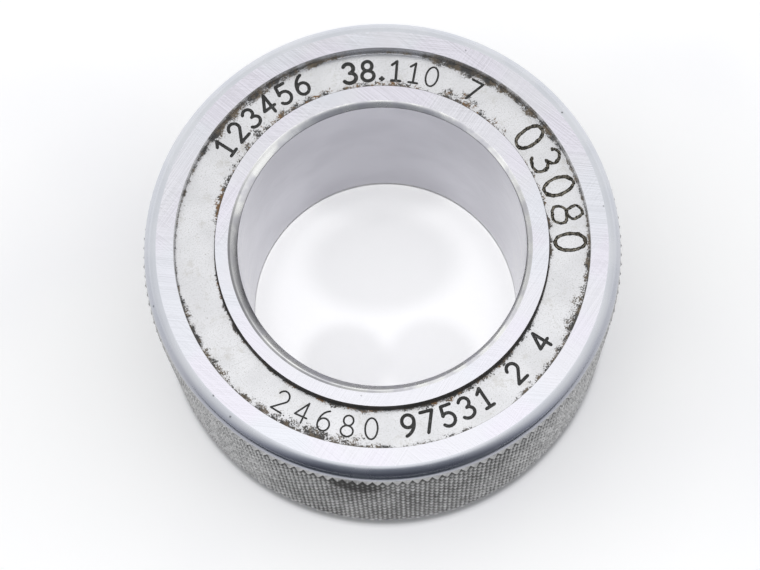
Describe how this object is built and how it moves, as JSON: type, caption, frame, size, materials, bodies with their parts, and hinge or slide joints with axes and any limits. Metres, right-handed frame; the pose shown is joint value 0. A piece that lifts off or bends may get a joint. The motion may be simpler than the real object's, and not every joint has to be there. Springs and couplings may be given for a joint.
{
  "type": "setting ring gauge",
  "caption": "Plain cylindrical setting ring gauge: lapped bore, diamond knurled grip, rounded edges and a sunk marking track in the upper face.",
  "frame": {"origin": "on the bore axis, in the plane of the lower lapped face", "axes": "+Z along the bore axis, from the resting face towards the face with the marking track; +Y points away from the viewer of the picture"},
  "size_m": [0.0636, 0.0636, 0.0333],
  "materials": {
    "gauge_steel": "lapped faces and bore, satin track floor with grime and rust, diamond knurled side"
  },
  "bodies": {
    "root": {"ring": "gauge_steel"}
  },
  "joints": []
}
